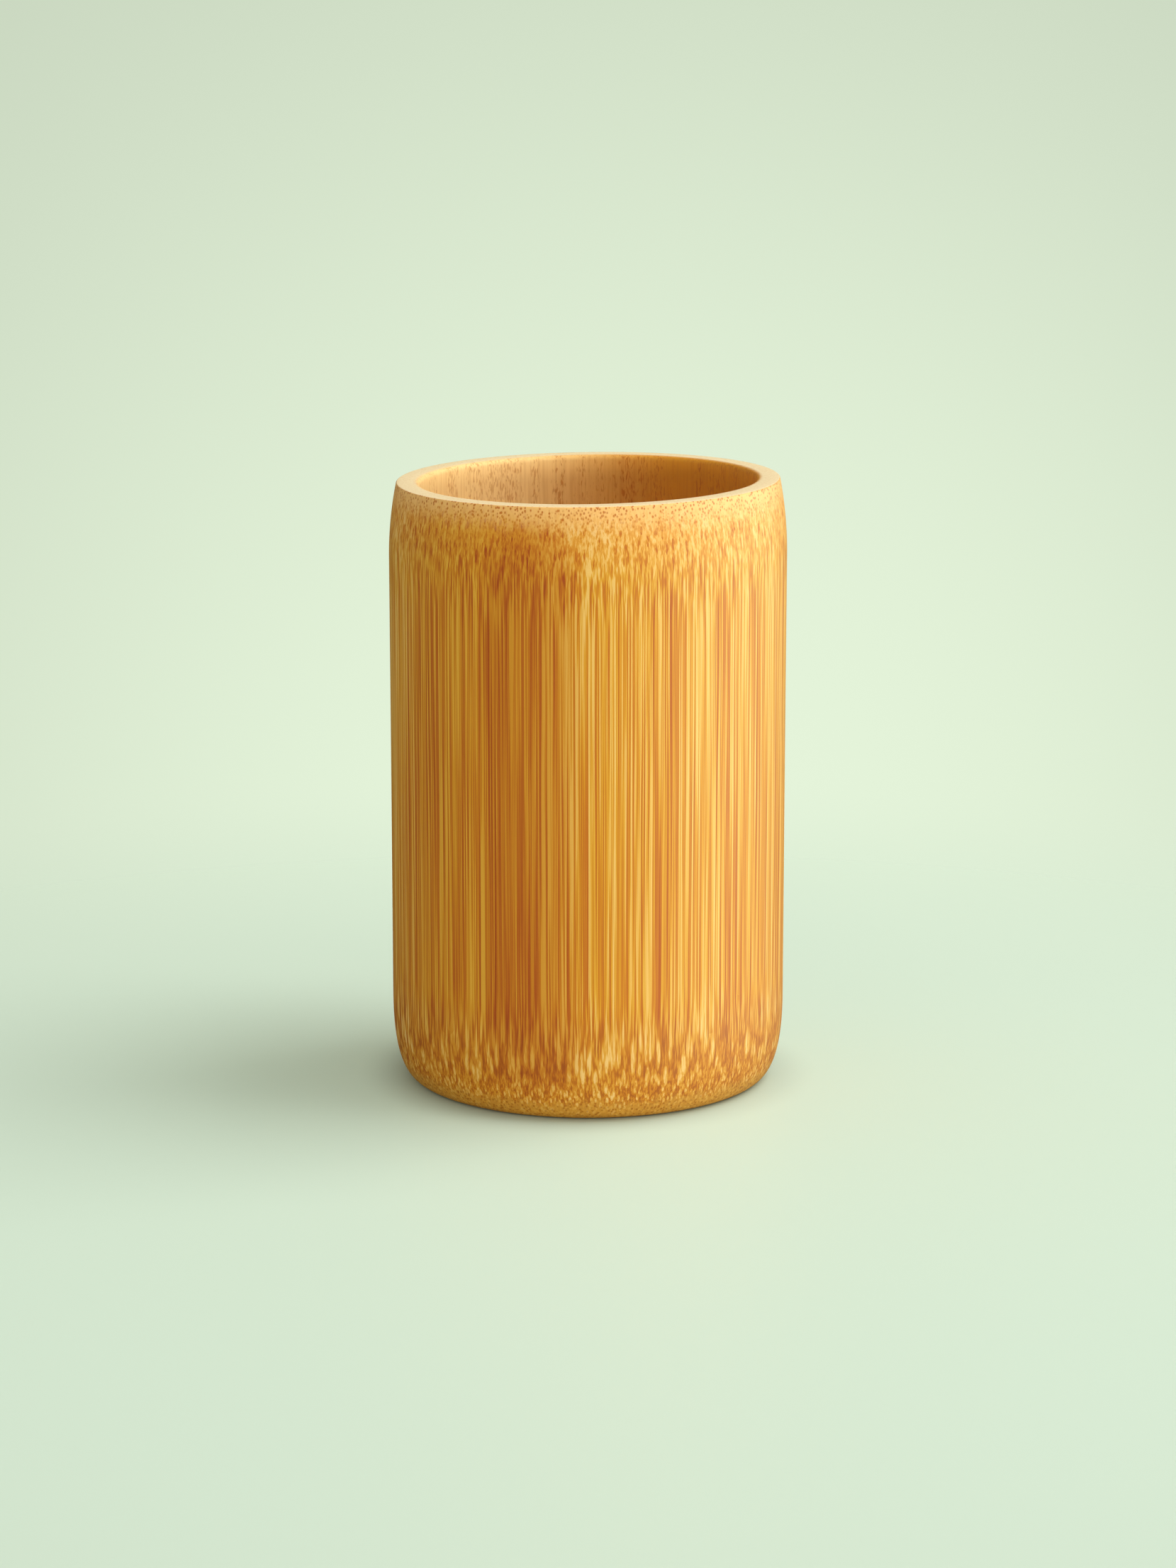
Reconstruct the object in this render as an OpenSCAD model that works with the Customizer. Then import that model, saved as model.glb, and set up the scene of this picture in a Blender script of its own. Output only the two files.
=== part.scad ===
// Bamboo cup: a turned length of culm, drawn in softly below the rim and rounded at the foot.
// Its base is a disc of edge-glued strips, let in from the mouth and bedded in glue on a ledge.

/* [Body] */
// Outer diameter of the body
body_d = 75; // [66:0.5:90]
// Height from the table to the rim
cup_h = 115.4; // [80:0.1:160]
// Thickness of the wall above the base
wall_t = 5.9; // [5:0.1:7.5]

/* [Shoulder and rim] */
// Height over which the side draws in towards the rim
shoulder_h = 14.4; // [8:0.1:24]
// How far the side has drawn in at the rim
shoulder_in = 1.4; // [0.6:0.1:2.4]
// Radius of the rim's crisp outer edge
rim_edge = 0.35; // [0.2:0.05:0.8]
// Radius of the rim's softer inner edge
rim_round = 1; // [0.5:0.1:1.5]

/* [Foot] */
// Height over which the side draws in towards the table
foot_h = 16.7; // [10:0.1:24]
// How far the side has drawn in at the table
foot_in = 5.4; // [4:0.1:6.2]
// Fullness of the foot's curve: 2 is an ellipse, and more is squarer
foot_power = 2.45; // [2:0.05:3]
// Width of the ledge that carries the base
ledge_w = 2.6; // [2:0.1:4]
// Height of the ledge above the table
ledge_z = 4; // [3:0.1:6]
// Radius of the foot's inner edge
foot_edge = 0.5; // [0.3:0.1:0.9]

/* [Base] */
// Thickness of the base
base_t = 5; // [4:0.1:7]
// How much wider the bore is than the base's seat, so that the base drops freely to it
seat_step = 0.4; // [0.2:0.1:0.8]
// Number of strips that the base is glued up from
strip_count = 12; // [8:1:16]
// Thickness of the glue under and around the base
glue_gap = 0.15; // [0.1:0.05:0.3]
// Leg of the glue bead in the corner above the base
bead_leg = 1.2; // [0.8:0.1:2]

/* [Hidden] */
STRIPS = [for (i = [1:strip_count]) str("base_strip_", i)];
$fn = 128;

// Radii that the pieces share
body_r = body_d / 2;
bore_r = body_r - wall_t;
rim_r = body_r - shoulder_in;
foot_r = body_r - foot_in;
seat_r = bore_r - seat_step;
ledge_r = seat_r - ledge_w;

// The base stands off the ledge and its seat by the thickness of the glue
base_r = seat_r - glue_gap;
base_z = ledge_z + glue_gap;
base_top = base_z + base_t;
seat_top = base_top + bead_leg;
strip_w = 2 * base_r / strip_count;
overrun = 2 * glue_gap;

// How far the bead's face is drawn into its corner: 0.5 is a straight face
bead_pull_share = 0.25;

// Straight pieces that each curve is drawn with
foot_steps = 12;
shoulder_steps = 8;
edge_steps = 5;

WALL_TONE = [0.85, 0.6, 0.27];
GLUE_TONE = [0.8, 0.55, 0.2];
STRIP_TONES = [[0.9, 0.74, 0.48], [0.86, 0.68, 0.4], [0.93, 0.78, 0.54], [0.83, 0.64, 0.37]];

// Points on an arc of radius r about [x, z], from one angle to another
function arc(x, z, r, from, to) = [
    for (i = [0:edge_steps])
        let (a = from + (to - from) * i / edge_steps)
        [x + r * cos(a), z + r * sin(a)]
];

// The foot leaves the table level and joins the side upright, along a quarter of a superellipse
function foot_point(a) = [
    foot_r + foot_in * pow(sin(a), 2 / foot_power),
    foot_h * (1 - pow(cos(a), 2 / foot_power))
];

// The shoulder leaves the side upright and draws in with the square of its height
function shoulder_point(share) = [
    body_r - shoulder_in * share * share,
    cup_h - shoulder_h + (shoulder_h - rim_edge) * share
];

// The bead's face runs from the top of the seat down to the base, hollowed towards the corner
function bead_point(share) = [
    seat_r - bead_leg * share * (share + 2 * (1 - share) * bead_pull_share),
    base_top + bead_leg * (1 - share) * (1 - share + 2 * share * bead_pull_share)
];

// Half section of the wall, anticlockwise from the foot's inner edge
function wall_section() = concat(
    arc(ledge_r + foot_edge, foot_edge, foot_edge, 180, 270),
    [for (i = [0:foot_steps]) foot_point(90 * i / foot_steps)],
    [for (i = [0:shoulder_steps]) shoulder_point(i / shoulder_steps)],
    arc(rim_r - rim_edge, cup_h - rim_edge, rim_edge, 90 / edge_steps, 90),
    arc(bore_r + rim_round, cup_h - rim_round, rim_round, 90, 180),
    [[bore_r, seat_top], [seat_r, seat_top], [seat_r, ledge_z], [ledge_r, ledge_z]]
);

// Half section of the glue: under the base, around it and in the corner above it
function glue_section() = concat(
    [[ledge_r, ledge_z], [seat_r, ledge_z]],
    [for (i = [0:edge_steps]) bead_point(i / edge_steps)],
    [[base_r, base_top], [base_r, base_z], [ledge_r, base_z]]
);

// Where one strip ends and the next begins; the outer two run past the disc's edge
function strip_side(i) =
    i == 0 ? -base_r - overrun : i == strip_count ? base_r + overrun : i * strip_w - base_r;

module cup_wall() {
    color(WALL_TONE)
        rotate_extrude()
            polygon(wall_section());
}

module glue_seam() {
    color(GLUE_TONE)
        rotate_extrude()
            polygon(glue_section());
}

module base_strip(i) {
    from = strip_side(i - 1);
    to = strip_side(i);
    color(STRIP_TONES[i % len(STRIP_TONES)])
        intersection() {
            translate([0, 0, base_z])
                cylinder(h = base_t, r = base_r);
            translate([from, -base_r - overrun, base_z - overrun])
                cube([to - from, 2 * (base_r + overrun), base_t + 2 * overrun]);
        }
}

cup_wall();
glue_seam();
for (i = [1:strip_count])
    base_strip(i);
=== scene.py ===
import math

import bmesh
import bpy
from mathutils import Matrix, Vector


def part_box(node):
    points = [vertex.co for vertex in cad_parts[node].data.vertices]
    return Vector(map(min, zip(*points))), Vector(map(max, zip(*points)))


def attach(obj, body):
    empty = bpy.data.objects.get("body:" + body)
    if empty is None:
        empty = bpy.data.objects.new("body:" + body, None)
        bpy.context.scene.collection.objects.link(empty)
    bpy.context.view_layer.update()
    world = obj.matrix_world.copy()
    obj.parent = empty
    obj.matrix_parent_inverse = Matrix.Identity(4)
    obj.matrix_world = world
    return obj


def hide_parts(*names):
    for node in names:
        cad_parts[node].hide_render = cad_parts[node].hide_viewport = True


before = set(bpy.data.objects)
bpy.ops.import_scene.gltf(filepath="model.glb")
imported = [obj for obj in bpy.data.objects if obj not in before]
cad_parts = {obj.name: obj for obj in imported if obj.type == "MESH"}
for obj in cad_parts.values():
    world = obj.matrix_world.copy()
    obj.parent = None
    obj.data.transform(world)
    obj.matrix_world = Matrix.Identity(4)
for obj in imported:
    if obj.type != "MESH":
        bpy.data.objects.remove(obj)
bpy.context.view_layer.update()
mm = 0.001

# What the photograph was taken with, worked out from the cup's outline in it
photo = {
    "height": 2212,  # pixels
    "focal": 6262,  # in the same pixels
    "sensor": 36,  # mm along the long side
    "distance": 828 * mm,  # from the cup's axis
    "eyeHeight": 235.6 * mm,
    "lookDown": 12.2,  # degrees
    "clipStart": 10 * mm,
}


def placeCamera():
    lens = bpy.data.cameras.new("photoLens")
    lens.sensor_width = photo["sensor"]
    lens.lens = photo["focal"] / photo["height"] * photo["sensor"]
    lens.clip_start = photo["clipStart"]
    camera = bpy.data.objects.new("photoCamera", lens)
    camera.location = (0, -photo["distance"], photo["eyeHeight"])
    camera.rotation_euler = (math.radians(90 - photo["lookDown"]), 0, 0)
    bpy.context.scene.collection.objects.link(camera)
    bpy.context.scene.camera = camera


class Wire:
    # One output of a node. Sums written with it add Math nodes to its finish.
    def __init__(self, finish, socket):
        self.finish = finish
        self.socket = socket

    def math(self, operation, *values):
        return self.finish.add("ShaderNodeMath", {"operation": operation}, values)

    def output(self, name):
        return Wire(self.finish, self.socket.node.outputs[name])

    def __add__(self, other):
        return self.math("ADD", self, other)

    def __sub__(self, other):
        return self.math("SUBTRACT", self, other)

    def __rsub__(self, other):
        return self.math("SUBTRACT", other, self)

    def __mul__(self, other):
        return self.math("MULTIPLY", self, other)

    def __truediv__(self, other):
        return self.math("DIVIDE", self, other)

    def __pow__(self, other):
        return self.math("POWER", self, other)

    __radd__ = __add__
    __rmul__ = __mul__


class Finish:
    # A node tree being wired up: a material's, or the world's.
    def __init__(self, owner):
        self.owner = owner
        owner.use_nodes = True
        self.tree = owner.node_tree
        self.tree.nodes.clear()

    def add(self, kind, settings=None, inputs=(), output=0):
        node = self.tree.nodes.new(kind)
        for name, value in (settings or {}).items():
            if name == "stops":
                setStops(node.color_ramp, value)
            else:
                setattr(node, name, value)
        named = inputs.items() if isinstance(inputs, dict) else enumerate(inputs)
        for name, value in named:
            if isinstance(value, Wire):
                self.tree.links.new(value.socket, node.inputs[name])
            else:
                node.inputs[name].default_value = value
        return Wire(self, node.outputs[output]) if len(node.outputs) else node

    def vector(self, x, y, z):
        return self.add("ShaderNodeCombineXYZ", None, (x, y, z))

    def vectorMath(self, operation, inputs, output=0):
        return self.add("ShaderNodeVectorMath", {"operation": operation}, inputs, output)

    def blend(self, share, low, high, how="MIX"):
        settings = {"data_type": "RGBA", "blend_type": how}
        return self.add("ShaderNodeMix", settings, {0: share, 6: low, 7: high}, 2)

    def ramp(self, value, start, end, low=0.0, high=1.0, how="LINEAR"):
        limits = {"Value": value, "From Min": start, "From Max": end, "To Min": low, "To Max": high}
        return self.add("ShaderNodeMapRange", {"interpolation_type": how}, limits)

    def ease(self, value, start, end, low=0.0, high=1.0):
        return self.ramp(value, start, end, low, high, "SMOOTHSTEP")

    def colours(self, stops, value):
        return self.add("ShaderNodeValToRGB", {"stops": stops}, (value,))

    def clouds(self, place, size=1.0, detail=2.0, roughness=0.5, output=0):
        inputs = {"Vector": place, "Scale": 1 / size, "Detail": detail, "Roughness": roughness}
        return self.add("ShaderNodeTexNoise", None, inputs, output)

    def cells(self, place, randomness=1.0, dimensions="3D"):
        inputs = {"Vector": place, "Scale": 1, "Randomness": randomness}
        settings = {"voronoi_dimensions": dimensions}
        return self.add("ShaderNodeTexVoronoi", settings, inputs, "Distance")

    def bump(self, strength, depth, height):
        inputs = {"Strength": strength, "Distance": depth, "Height": height}
        return self.add("ShaderNodeBump", None, inputs)

    def surface(self, shader):
        self.add("ShaderNodeOutputMaterial", None, {"Surface": shader})


def setStops(ramp, stops):
    while len(ramp.elements) > 1:
        ramp.elements.remove(ramp.elements[-1])
    ramp.elements[0].position, ramp.elements[0].color = stops[0]
    for position, colour in stops[1:]:
        ramp.elements.new(position).color = colour


def newFinish(name):
    return Finish(bpy.data.materials.new(name))


def tone(red, green, blue):
    # a colour given as it is seen on a screen, 0 to 255
    def linear(value):
        share = value / 255
        return share / 12.92 if share <= 0.04045 else ((share + 0.055) / 1.055) ** 2.4

    return (linear(red), linear(green), linear(blue), 1)


# The culm: fibre bundles run up the wall and lean out at both ends, so that the turned side
# cuts across them there and shows them as tongues, flames and flecks. Lengths are in mm, and
# a pair of heights or radii is where something starts to show and where it is complete.
culm = {
    "leanFrom": 86,
    "leanTo": 115.4,
    "rimLean": 1.9,  # how far the bundles have leaned out at the rim
    "footLeanFrom": 27,
    "footLean": 1.4,  # and at the table
    "drift": 0.15,  # slow wander of the bundles from side to side
    "driftAcross": 14,
    "driftAlong": 50,
    "bundle": 0.92,  # spacing of the bundles near the rim
    "tongue": 0.95,  # and near the foot
    "tongueLong": 15,
    "scale": 0.62,  # spacing of the small scales below the tongues
    "scaleLong": 6,
    "thread": 0.34,  # fine lines, broader bands and faint patches
    "threadLong": 75,
    "band": 1.5,
    "bandLong": 100,
    "patch": 9,
    "patchLong": 500,
    "evenCores": (96, 111),  # every bundle shows its core above here, and only some below
    "footward": (85, 35),  # from the marks of the rim to those of the foot
    "tongues": (23, 11),
    "tips": (20, 13),  # pale tips of the tongues
    "calm": (19, 11),  # threads and bands are weaker below here
    "scales": (9, 5),
    "rimColours": (100.4, 117.4),
    "footColours": (22, 14),
    "rimFlecks": (109.5, 116),
    "footFlecks": (5, 2.5),
    "rimFleck": 0.5,  # spacing of the flecks
    "footFleck": 0.62,
    "fleckLong": 0.8,
    "bandShare": 0.55,  # how much each mark adds to the lightness, or takes from it
    "threadShare": 0.76,
    "patchShare": 0.35,
    "tintShare": 0.2,
    "markShare": 0.42,
    "tipShare": 0.2,
    "footwardShade": 0.07,
    "lightness": 0.69,
    "side": [
        (0.0, tone(177, 79, 0)),
        (0.3, tone(198, 112, 0)),
        (0.6, tone(213, 142, 4)),
        (0.85, tone(223, 163, 44)),
        (1.0, tone(233, 185, 96)),
    ],
    "rim": [
        (0.0, tone(190, 90, 0)),
        (0.35, tone(214, 132, 8)),
        (0.65, tone(234, 168, 74)),
        (1.0, tone(241, 192, 120)),
    ],
    "foot": [
        (0.0, tone(170, 88, 0)),
        (0.35, tone(199, 118, 0)),
        (0.65, tone(220, 157, 44)),
        (1.0, tone(236, 191, 112)),
    ],
    "rimGround": tone(243, 187, 110),  # between the flecks
    "footGround": tone(208, 150, 50),
    "footDot": tone(164, 92, 0),
    "tan": tone(241, 222, 130),  # painted shade laid over the front left, the side away from the lamps
    "paintedShadeTowards": (-0.574, -0.819),
    "paintedShadeFrom": (31, 36),
    "paintedShadeHeights": (6, 22),  # weaker at the foot
    "amber": tone(241, 224, 176),  # a narrow band beside it
    "amberTowards": (-0.276, -0.961),
    "amberFrom": (35.8, 37.2),
    "endGrain": tone(250, 225, 177),
    "endGrainDot": tone(240, 206, 150),
    "roughness": (0.62, 0.56),  # of dark fibres and of pale ones
    "gloss": 0.6,
    "bump": 0.25,
    "bumpDepth": 0.03,
}

# Inside, the culm is smooth and paler, with short dark dashes that gather in upright bands
bore = {
    "radii": (33.0, 31.9),
    "gather": 3,
    "gatherLong": 50,
    "dash": 0.3,
    "dashLong": 1.3,
    "grain": 0.5,
    "grainLong": 14,
    # painted light and shade: the inner wall is pale on the left, where the lamp at the right falls
    # on it, and a deep shaded orange on the right
    "pale": (18, -18),  # from right to left
    "ground": tone(222, 150, 32),
    "paintedLitGround": tone(255, 214, 140),
    "dark": tone(200, 116, 28),
}


def millimetres(f):
    spot = f.add("ShaderNodeTexCoord", None, (), "Object")
    scaled = f.vectorMath("SCALE", {"Vector": spot, "Scale": 1 / mm})
    parts = f.add("ShaderNodeSeparateXYZ", None, (scaled,))
    return parts.output("X"), parts.output("Y"), parts.output("Z")


def whims(f, cell):
    # two chance values for each cell
    parts = f.add("ShaderNodeSeparateColor", None, (cell.output("Color"),))
    return parts.output("Red"), parts.output("Green")


def between(share, low, high):
    return share * (high - low) + low


def towards(x, y, way):
    # how far a spot lies in a direction, seen from above
    return x * way[0] + y * way[1]


def leaningFibres(f, x, y, z, radius):
    # where a fibre seen at x, y, z would be half way up the cup
    lean = f.ramp(z, culm["leanFrom"], culm["leanTo"]) ** 3 * culm["rimLean"]
    lean = lean + f.ramp(z, culm["footLeanFrom"], 0) ** 2 * culm["footLean"]
    shrink = 1 - lean / radius
    slowly = f.vector(x / culm["driftAcross"], y / culm["driftAcross"], z / culm["driftAlong"])
    drift = f.add("ShaderNodeSeparateColor", None, (f.clouds(slowly, 1, 1, 0.5, "Color"),))
    across = x * shrink + (drift.output("Red") - 0.5) * (2 * culm["drift"])
    through = y * shrink + (drift.output("Green") - 0.5) * (2 * culm["drift"])
    return across, through


def boreFinish(f, x, y, z):
    def along(pitch, length):
        return f.vector(x / pitch, y / pitch, z / length)

    gather = f.clouds(along(bore["gather"], bore["gatherLong"]), 1, 2, 0.6)
    dashes = f.clouds(along(bore["dash"], bore["dashLong"]), 1, 1, 0.5)
    grain = f.clouds(along(bore["grain"], bore["grainLong"]), 1, 2, 0.6)
    marks = f.ease(dashes + (gather - 0.5) * 0.5, 0.55, 0.67) * f.ease(gather, 0.36, 0.54)
    # painted light: towards the lit left the ground turns pale and the dark marks fade
    pale = f.ease(x, *bore["pale"])
    marks = (marks * 0.75 + f.ease(grain, 0.42, 0.68) * 0.35) * (1 - pale * 0.4)
    ground = f.blend(pale, bore["ground"], bore["paintedLitGround"])
    return f.blend(marks, ground, bore["dark"])


def culmFinish():
    f = newFinish("culmBamboo")
    x, y, z = millimetres(f)
    radius = (x * x + y * y) ** 0.5
    across, through = leaningFibres(f, x, y, z, radius)

    def along(pitch, length):
        return f.vector(across / pitch, through / pitch, z / length)

    bands = f.clouds(along(culm["band"], culm["bandLong"]), 1, 2, 0.5) - 0.5
    threads = f.clouds(along(culm["thread"], culm["threadLong"]), 1, 2, 0.6) - 0.5
    patches = f.clouds(along(culm["patch"], culm["patchLong"]), 1, 1, 0.5) - 0.5
    crisp = f.ease(threads, -0.13, 0.13) - 0.5

    # near the rim each bundle shows its dark core, and near the foot the gaps between bundles
    # are dark: lines on the straight side, and short marks where the side cuts across them
    upper = f.cells(along(culm["bundle"], 1), 0.9, "2D")
    lower = f.cells(along(culm["tongue"], 1), 0.9, "2D")
    upperTint, upperWhim = whims(f, upper)
    lowerTint, lowerWhim = whims(f, lower)
    foot = f.ease(z, *culm["tongues"])
    top = f.ease(z, *culm["evenCores"])
    low = f.ease(z, *culm["footward"])
    core = f.ease(upper + threads * 0.3, 0.28, 0.19)
    core = core * between(top, f.ease(upperWhim + bands, 0.1, 0.9) * 0.85, 0.8)
    gap = f.ease(lower + threads * 0.35, 0.47, 0.6) * f.ease(lowerWhim + bands, 0.1, 0.9) * 0.55
    tongues = f.cells(along(culm["tongue"], culm["tongueLong"]))
    fine = f.cells(along(culm["scale"], culm["scaleLong"]))
    scales = f.ease(z + bands * 9, *culm["scales"])
    gap = between(foot, gap, f.ease(tongues + threads * 0.4, 0.42, 0.53))
    gap = between(scales, gap, f.ease(fine + threads * 0.25, 0.4, 0.52))
    tips = f.ease(between(scales, tongues, fine), 0.4, 0.15) * f.ease(z, *culm["tips"])
    tips = tips * (1.35 - scales)
    tint = between(low, upperTint, lowerTint) - 0.5

    # how light the fibres are, from 0 to 1
    calm = f.ease(z, *culm["calm"])
    spread = 1 - calm.math("MAXIMUM", calm, top) * 0.4
    shade = bands * spread * culm["bandShare"] + crisp * spread * culm["threadShare"]
    shade = shade + patches * culm["patchShare"] + tint * culm["tintShare"]
    shade = shade - between(low, core, gap) * culm["markShare"] + tips * culm["tipShare"]
    shade = shade - low * culm["footwardShade"] + culm["lightness"]

    sideTone = f.colours(culm["side"], shade)
    rimTone = f.colours(culm["rim"], shade)
    footTone = f.colours(culm["foot"], shade + foot * 0.08)
    colour = f.blend(f.ease(z, *culm["rimColours"]), sideTone, rimTone)
    colour = f.blend(f.ease(z, *culm["footColours"]), colour, footTone)

    # painted shade: the front left, away from the lamps, is made darker and deeper in tone
    paintedShading = f.ease(towards(x, y, culm["paintedShadeTowards"]), *culm["paintedShadeFrom"])
    paintedShading = paintedShading * f.ease(z, *culm["paintedShadeHeights"], 0.4, 1)
    colour = f.blend(paintedShading, colour, culm["tan"], "MULTIPLY")
    banded = f.ease(towards(x, y, culm["amberTowards"]) + bands * 0.8, *culm["amberFrom"])
    colour = f.blend(banded, colour, culm["amber"], "MULTIPLY")

    # the last few millimetres at either end are finely flecked
    fleck = between(foot, culm["rimFleck"], culm["footFleck"])
    flecks = f.cells(f.vector(across / fleck, through / fleck, z / culm["fleckLong"]))
    dark = f.ease(flecks, 0.5, 0.2)
    rimEnd = f.blend(dark * 0.9, culm["rimGround"], culm["rim"][0][1])
    colour = f.blend(f.ease(z + bands * 3, *culm["rimFlecks"]), colour, rimEnd)
    footEnd = f.blend(dark * 0.9, culm["footGround"], culm["footDot"])
    colour = f.blend(f.ease(z + bands * 5, *culm["footFlecks"]) * 0.7, colour, footEnd)

    # the flat of the rim shows end grain
    normal = f.add("ShaderNodeNewGeometry", None, (), "Normal")
    upward = f.add("ShaderNodeSeparateXYZ", None, (normal,)).output("Z")
    ends = f.blend(dark * 0.75, culm["endGrain"], culm["endGrainDot"])
    colour = f.blend(f.ease(upward, 0.75, 0.95), colour, ends)
    colour = f.blend(f.ease(radius, *bore["radii"]), colour, boreFinish(f, x, y, z))

    shader = {
        "Base Color": colour,
        "Roughness": f.ease(shade, 0, 1, *culm["roughness"]),
        "Normal": f.bump(culm["bump"], culm["bumpDepth"] * mm, shade),
        "Specular IOR Level": culm["gloss"],
    }
    f.surface(f.add("ShaderNodeBsdfPrincipled", None, shader))
    return f.owner


# The turned wall: its outline is the same as the solid's, drawn with more points
wall = {
    "thickness": 5.9 * mm,
    "shoulderHeight": 14.4 * mm,
    "shoulderIn": 1.4 * mm,
    "rimEdge": 0.35 * mm,
    "rimRound": 1.0 * mm,
    "footHeight": 16.7 * mm,
    "footIn": 5.4 * mm,
    "footPower": 2.45,
    "footEdge": 0.5 * mm,
    "seatStep": 0.4 * mm,
    "ledgeWidth": 2.6 * mm,
    "footSteps": 28,
    "shoulderSteps": 16,
    "edgeSteps": 6,
    "longest": 2 * mm,  # no face of the outline is longer
    "turns": 288,
    "rimSlant": 1.0 * mm,  # the rim is cut a little out of square, higher on the right
    "slantFrom": 70 * mm,
    "oval": 0.06 * mm,
    "ovalTurn": 0.6,
}


def arcPoints(x, z, radius, start, end):
    steps = wall["edgeSteps"]
    angles = [math.radians(start + (end - start) * i / steps) for i in range(steps + 1)]
    return [(x + radius * math.cos(a), z + radius * math.sin(a)) for a in angles]


def evenly(points, step):
    # adds points along any run that is longer than a step
    filled = []
    for i, (r, z) in enumerate(points):
        nextR, nextZ = points[(i + 1) % len(points)]
        pieces = max(1, math.ceil(math.hypot(nextR - r, nextZ - z) / step))
        for k in range(pieces):
            filled.append((r + (nextR - r) * k / pieces, z + (nextZ - z) * k / pieces))
    return filled


def wallOutline(bodyR, top, ledgeZ, seatTop):
    boreR = bodyR - wall["thickness"]
    rimR = bodyR - wall["shoulderIn"]
    footR = bodyR - wall["footIn"]
    seatR = boreR - wall["seatStep"]
    ledgeR = seatR - wall["ledgeWidth"]
    points = arcPoints(ledgeR + wall["footEdge"], wall["footEdge"], wall["footEdge"], 180, 270)
    for i in range(wall["footSteps"] + 1):
        a = math.radians(90 * i / wall["footSteps"])
        out = math.sin(a) ** (2 / wall["footPower"])
        up = 1 - max(math.cos(a), 0) ** (2 / wall["footPower"])
        points.append((footR + wall["footIn"] * out, wall["footHeight"] * up))
    for i in range(wall["shoulderSteps"] + 1):
        share = i / wall["shoulderSteps"]
        height = top - wall["shoulderHeight"] + (wall["shoulderHeight"] - wall["rimEdge"]) * share
        points.append((bodyR - wall["shoulderIn"] * share**2, height))
    points += arcPoints(rimR - wall["rimEdge"], top - wall["rimEdge"], wall["rimEdge"], 15, 90)
    points += arcPoints(boreR + wall["rimRound"], top - wall["rimRound"], wall["rimRound"], 90, 180)
    points += [(boreR, seatTop), (seatR, seatTop), (seatR, ledgeZ), (ledgeR, ledgeZ)]
    return evenly(points, wall["longest"])


def turnMesh(name, outline, turns, bend):
    # turns a closed outline about Z, with a map that runs round and along it
    mesh = bpy.data.meshes.new(name)
    form = bmesh.new()
    runs = [0]
    for (r0, z0), (r1, z1) in zip(outline, outline[1:] + outline[:1]):
        runs.append(runs[-1] + math.hypot(r1 - r0, z1 - z0))
    rings = []
    for i in range(turns):
        angle = math.pi / 2 + 2 * math.pi * i / turns
        ring = []
        for r, z in outline:
            point = Vector((r * math.cos(angle), r * math.sin(angle), z))
            ring.append(form.verts.new(bend(point)))
        rings.append(ring)
    layer = form.loops.layers.uv.new("OFBake")
    count = len(outline)
    for i in range(turns):
        for k in range(count):
            corners = (rings[i][k], rings[(i + 1) % turns][k])
            corners += (rings[(i + 1) % turns][(k + 1) % count], rings[i][(k + 1) % count])
            face = form.faces.new(corners)
            face.smooth = True
            places = ((i, runs[k]), (i + 1, runs[k]), (i + 1, runs[k + 1]), (i, runs[k + 1]))
            for loop, (turn, run) in zip(face.loops, places):
                loop[layer].uv = (turn / turns, run / runs[-1])
    bmesh.ops.recalc_face_normals(form, faces=form.faces)
    form.to_mesh(mesh)
    form.free()
    return mesh


def addPiece(name, mesh, material, slot, *nodes):
    piece = bpy.data.objects.new(name, mesh)
    bpy.context.scene.collection.objects.link(piece)
    piece.data.materials.append(material)
    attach(piece, "root")
    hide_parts(*nodes)
    return piece


def bendWall(top):
    def bend(point):
        share = min(max((point.z - wall["slantFrom"]) / (top - wall["slantFrom"]), 0), 1)
        around = math.atan2(point.y, point.x)
        oval = wall["oval"] * math.cos(2 * around + wall["ovalTurn"])
        grow = 1 + oval / point.xy.length * share
        lift = wall["rimSlant"] * share**2 * point.x / (2 * point.xy.length)
        return Vector((point.x * grow, point.y * grow, point.z + lift))

    return bend


def buildWall():
    low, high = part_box("cup_wall")
    glueLow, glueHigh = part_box("glue_seam")
    outline = wallOutline(high.x, high.z, glueLow.z, glueHigh.z)
    mesh = turnMesh("turnedWall", outline, wall["turns"], bendWall(high.z))
    addPiece("turnedWall", mesh, culmFinish(), "culm", "cup_wall")


# The base: strips edge-glued into a disc
base = {
    "strips": 12,
    "bevel": 0.1 * mm,
    "bevelSteps": 2,
    "sharp": 40,  # degrees, the least turn of an edge that is bevelled
    "arcSteps": 8,
    "grain": (0.5, 12, 0.9),  # mm across a strip, along it and through it
    "light": tone(238, 200, 142),
    "dark": tone(206, 152, 84),
    "fibre": tone(176, 118, 54),
    "roughness": 0.5,
    "coat": 0.15,
    "bump": 0.2,
    "bumpDepth": 0.03 * mm,
}


def stripFinish(stripWidth, baseR):
    f = newFinish("stripBoard")
    x, y, z = millimetres(f)
    # every strip has its own tone, and its own stretch of grain
    place = (x + baseR / mm) / (stripWidth / mm)
    number = place.math("FLOOR", place)
    whim = f.add("ShaderNodeTexWhiteNoise", {"noise_dimensions": "1D"}, {"W": number})
    across, length, deep = base["grain"]
    fibres = f.clouds(f.vector(x / across, y / length + whim * 40, z / deep), 1, 3, 0.6)
    board = f.blend(whim, base["light"], base["dark"])
    shader = {
        "Base Color": f.blend(f.ease(fibres, 0.5, 0.72) * 0.6, board, base["fibre"]),
        "Roughness": base["roughness"],
        "Normal": f.bump(base["bump"], base["bumpDepth"], fibres),
        "Coat Weight": base["coat"],
    }
    f.surface(f.add("ShaderNodeBsdfPrincipled", None, shader))
    return f.owner


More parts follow.
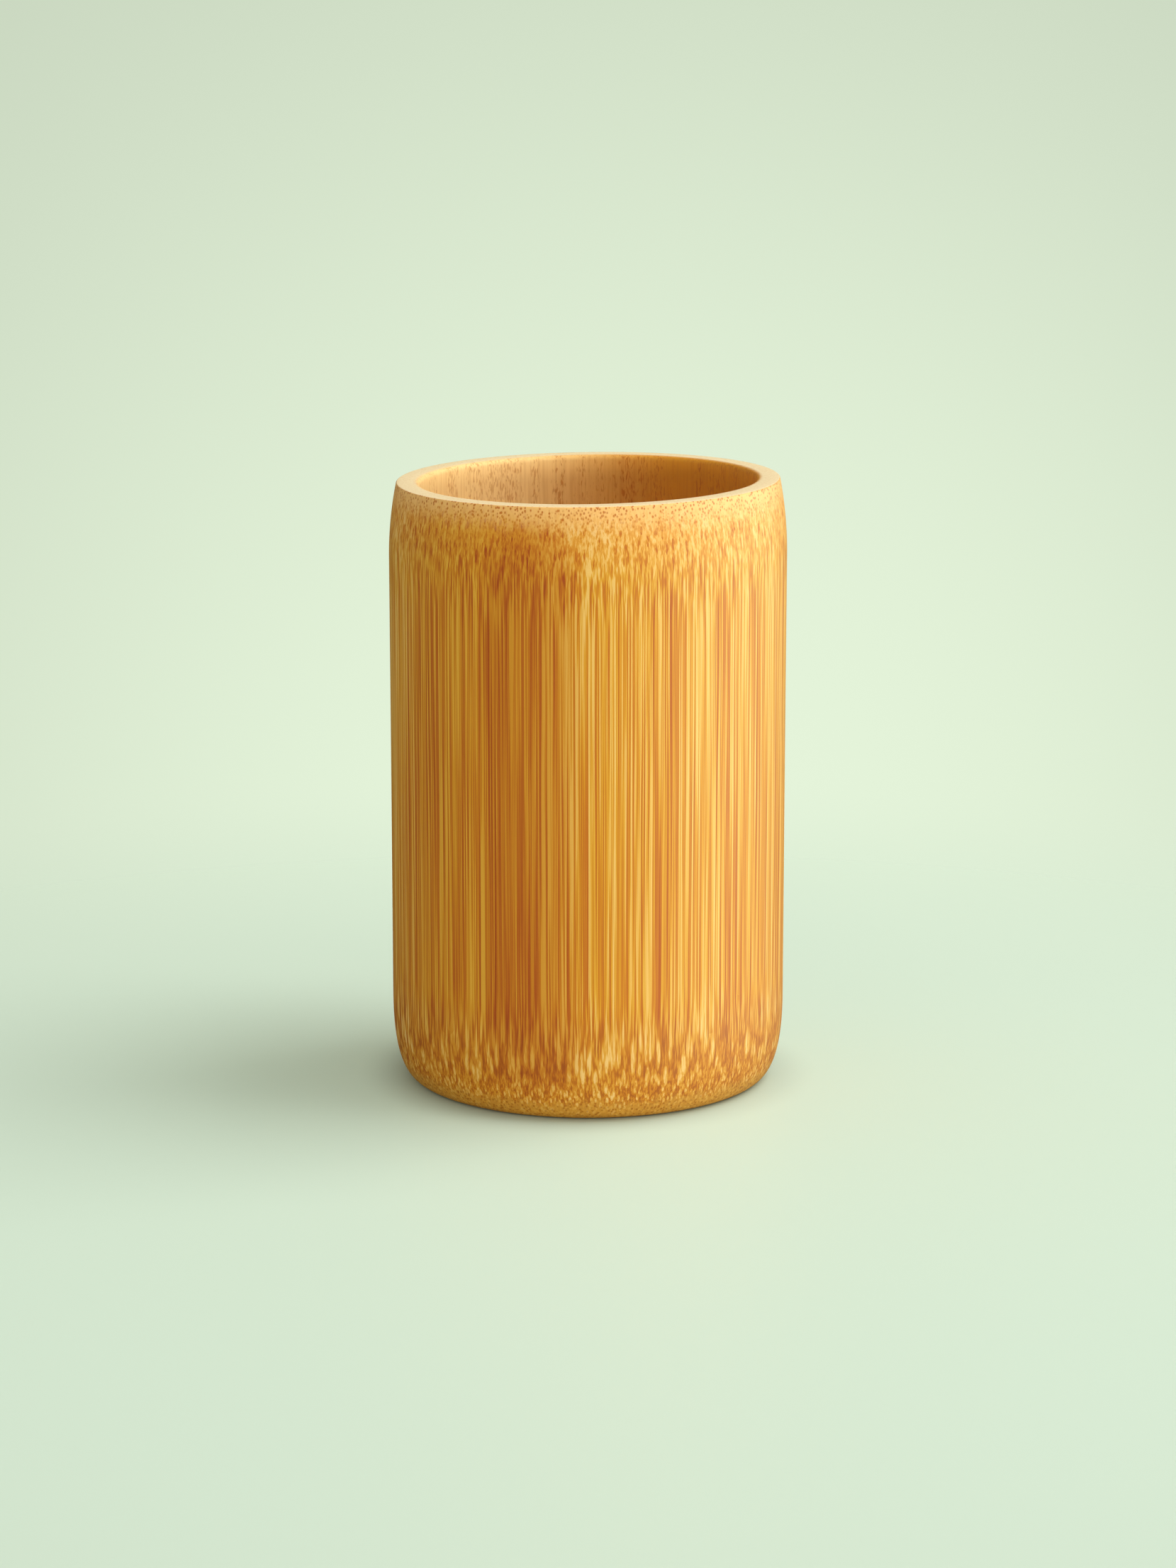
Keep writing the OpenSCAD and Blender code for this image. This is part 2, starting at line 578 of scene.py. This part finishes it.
def stripMesh(name, left, right, radius, bottom, top):
    # outline of one strip, clockwise along its two round ends
    steps = base["arcSteps"]
    ends = [left + (right - left) * i / steps for i in range(steps + 1)]
    outline = [(x, math.sqrt(max(radius**2 - x**2, 0))) for x in ends]
    outline += [(x, -y) for x, y in reversed(outline) if y > 0]
    form = bmesh.new()
    floor = form.faces.new([form.verts.new((x, y, bottom)) for x, y in outline])
    made = bmesh.ops.extrude_face_region(form, geom=[floor])
    for vertex in made["geom"]:
        if isinstance(vertex, bmesh.types.BMVert):
            vertex.co.z = top
    bmesh.ops.recalc_face_normals(form, faces=form.faces)
    sharp = [e for e in form.edges if e.calc_face_angle(0) > math.radians(base["sharp"])]
    how = {"segments": base["bevelSteps"], "profile": 0.5, "affect": "EDGES"}
    bmesh.ops.bevel(form, geom=sharp, offset=base["bevel"], **how)
    mesh = bpy.data.meshes.new(name)
    form.to_mesh(mesh)
    form.free()
    return mesh


def buildBase():
    firstLow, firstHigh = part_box("base_strip_1")
    baseR = -firstLow.x
    width = 2 * baseR / base["strips"]
    finish = stripFinish(width, baseR)
    for i in range(base["strips"]):
        left = -baseR + i * width
        mesh = stripMesh("baseStrip", left, left + width, baseR, firstLow.z, firstHigh.z)
        name = f"base_strip_{i + 1}"
        addPiece(f"baseStrip{i + 1:02d}", mesh, finish, "strip_board", name)


# The glue under and around the base keeps its solid, and gets a cloudy amber finish
glue = {
    "dark": tone(158, 96, 34),
    "pale": tone(206, 146, 66),
    "cloud": 2.5 * mm,
    "roughness": 0.22,
    "coat": 0.4,
    "coatRoughness": 0.1,
}


def glueFinish():
    f = newFinish("curedGlue")
    place = f.add("ShaderNodeTexCoord", None, (), "Object")
    shader = {
        "Base Color": f.blend(f.clouds(place, glue["cloud"]), glue["dark"], glue["pale"]),
        "Roughness": glue["roughness"],
        "Coat Weight": glue["coat"],
        "Coat Roughness": glue["coatRoughness"],
    }
    f.surface(f.add("ShaderNodeBsdfPrincipled", None, shader))
    return f.owner


def keepGlue():
    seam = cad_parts["glue_seam"]
    seam.data.materials.clear()
    seam.data.materials.append(glueFinish())


# The floor: pale, with a painted contact shadow where the cup touches it and painted light falloff
# away from it, and lost in the background further away
floorPiece = {
    "radius": 9,
    "segments": 96,
    "tone": tone(185, 201, 186),
    "paintedFalloffFrom": (50 * mm, 350 * mm),  # painted light falloff: a little darker away from the cup
    "paintedFalloff": 0.05,
    "paintedContactShadowFrom": (34 * mm, 32.3 * mm),  # painted contact shadow: a dark ring under the foot
    "paintedContactShadow": 0.6,
    "fadeCentre": -80 * mm,
    "fadeFrom": (130 * mm, 360 * mm),
    # painted reflection: a pale glow of the room that the camera sees on the floor, left off close
    # to the foot
    "paintedReflection": tone(218, 235, 206),
    "paintedReflectionFrom": (30 * mm, 45 * mm),
    "paintedReflectionStrength": 0.26,
    "roughness": 0.5,
    "gloss": 0.1,
}


def floorFinish():
    f = newFinish("paleFloor")
    spot = f.add("ShaderNodeTexCoord", None, (), "Object")
    parts = f.add("ShaderNodeSeparateXYZ", None, (spot,))
    x, y = parts.output("X"), parts.output("Y")
    aside = (x * x + y * y) ** 0.5
    back = y - floorPiece["fadeCentre"]
    away = (x * x + back * back) ** 0.5
    paintedFalloff = f.ease(aside, *floorPiece["paintedFalloffFrom"]) * floorPiece["paintedFalloff"]
    paintedContactShadow = f.ease(aside, *floorPiece["paintedContactShadowFrom"]) * floorPiece["paintedContactShadow"]
    shader = {
        "Base Color": f.blend(paintedFalloff.math("MAXIMUM", paintedFalloff, paintedContactShadow), floorPiece["tone"], (0, 0, 0, 1)),
        "Roughness": floorPiece["roughness"],
        "Specular IOR Level": floorPiece["gloss"],
    }
    near = f.add("ShaderNodeBsdfPrincipled", None, shader)
    # the painted reflection and the fade are seen by the camera only, and light nothing; the
    # reflection is left off close to the foot, which keeps the contact dark
    path = f.add("ShaderNodeLightPath", None, (), "Is Camera Ray")
    paintedReflection = f.ease(aside, *floorPiece["paintedReflectionFrom"]) * floorPiece["paintedReflectionStrength"]
    paintedGlow = f.add("ShaderNodeEmission", None, {"Color": floorPiece["paintedReflection"], "Strength": path * paintedReflection})
    near = f.add("ShaderNodeAddShader", None, (near, paintedGlow))
    far = f.add("ShaderNodeBsdfTransparent")
    faded = path * f.ease(away, *floorPiece["fadeFrom"])
    f.surface(f.add("ShaderNodeMixShader", None, (faded, near, far)))
    return f.owner


def buildFloor():
    form = bmesh.new()
    size = {"segments": floorPiece["segments"], "radius": floorPiece["radius"]}
    bmesh.ops.create_circle(form, cap_ends=True, **size)
    mesh = bpy.data.meshes.new("floor")
    form.to_mesh(mesh)
    form.free()
    floor = bpy.data.objects.new("floor", mesh)
    floor.data.materials.append(floorFinish())
    bpy.context.scene.collection.objects.link(floor)
    floor.visible_glossy = False


# Light: a soft key from above the right, a broad lamp and a narrow one from the front right, a
# faint one from the left, and a pale room. The last two, low at the right, only lay a sheen.
# An azimuth is in degrees from the cup's right, and one below 0 is towards the viewer.
lamps = {
    "key": {"azimuth": 6, "elevation": 57, "distance": 2.0, "size": (1.4, 1.4), "power": 32.0},
    "front": {"azimuth": -30, "elevation": 15, "distance": 2.5, "size": (2.4, 2.4), "power": 21.5},
    "strip": {"azimuth": -72, "elevation": 4, "distance": 2.5, "size": (2.4, 0.3), "power": 34.5},
    "left": {"azimuth": 165, "elevation": 3, "distance": 2.0, "size": (1.5, 0.3), "power": 9.0},
    "side": {"azimuth": 12, "elevation": 2.5, "distance": 2.0, "size": (2.2, 0.2), "power": 34.0},
    "gleam": {"azimuth": -25, "elevation": 4, "distance": 2.0, "size": (1.6, 0.2), "power": 22.0},
}
sheen = {"lamps": ("side", "gleam"), "tone": (1, 0.98, 0.65)}


def addLamp(name, values):
    lamp = bpy.data.lights.new(name + "Lamp", "AREA")
    lamp.shape = "RECTANGLE"
    lamp.size, lamp.size_y = values["size"]
    lamp.energy = values["power"]
    turn, rise = math.radians(values["azimuth"]), math.radians(values["elevation"])
    aside = values["distance"] * math.cos(rise)
    height = values["distance"] * math.sin(rise)
    holder = bpy.data.objects.new(name + "Lamp", lamp)
    holder.location = (aside * math.cos(turn), aside * math.sin(turn), height)
    holder.rotation_euler = holder.location.to_track_quat("Z", "Y").to_euler()
    forSheen = name in sheen["lamps"]
    holder.visible_glossy, holder.visible_diffuse = forSheen, not forSheen
    lamp.color = sheen["tone"] if forSheen else (1, 1, 1)
    bpy.context.scene.collection.objects.link(holder)


# The room and its background, which only the camera sees, brightest behind the cup
room = {
    "tone": tone(252, 254, 242),
    "strength": 0.4,
    "strengthInSheen": 0.04,
    "glow": tone(229, 244, 218),
    "glowTowards": (0.016, 0.974, -0.227),
    "glowReach": (0.02, 0.3),
    "glowFade": 0.27,
}


def buildRoom():
    world = bpy.data.worlds.new("paleRoom")
    bpy.context.scene.world = world
    f = Finish(world)
    path = f.add("ShaderNodeLightPath", None, (), "Is Camera Ray")
    strengths = {0: path.output("Is Glossy Ray"), 2: room["strength"], 3: room["strengthInSheen"]}
    strength = f.add("ShaderNodeMix", {"data_type": "FLOAT"}, strengths)
    plain = f.add("ShaderNodeBackground", None, {"Color": room["tone"], "Strength": strength})
    view = f.add("ShaderNodeTexCoord", None, (), "Generated")
    apart = f.vectorMath("DISTANCE", (view, room["glowTowards"]), "Value")
    glow = 1 - f.ease(apart, *room["glowReach"]) * room["glowFade"]
    seen = f.add("ShaderNodeBackground", None, {"Color": room["glow"], "Strength": glow})
    both = f.add("ShaderNodeMixShader", None, (path, plain, seen))
    f.add("ShaderNodeOutputWorld", None, {"Surface": both})


placeCamera()
print("camera placed")
buildWall()
print("wall turned")
buildBase()
keepGlue()
print("base glued in")
buildFloor()
for name, values in lamps.items():
    addLamp(name, values)
buildRoom()
print("floor and light set")
bpy.context.scene.view_settings.view_transform = "Standard"
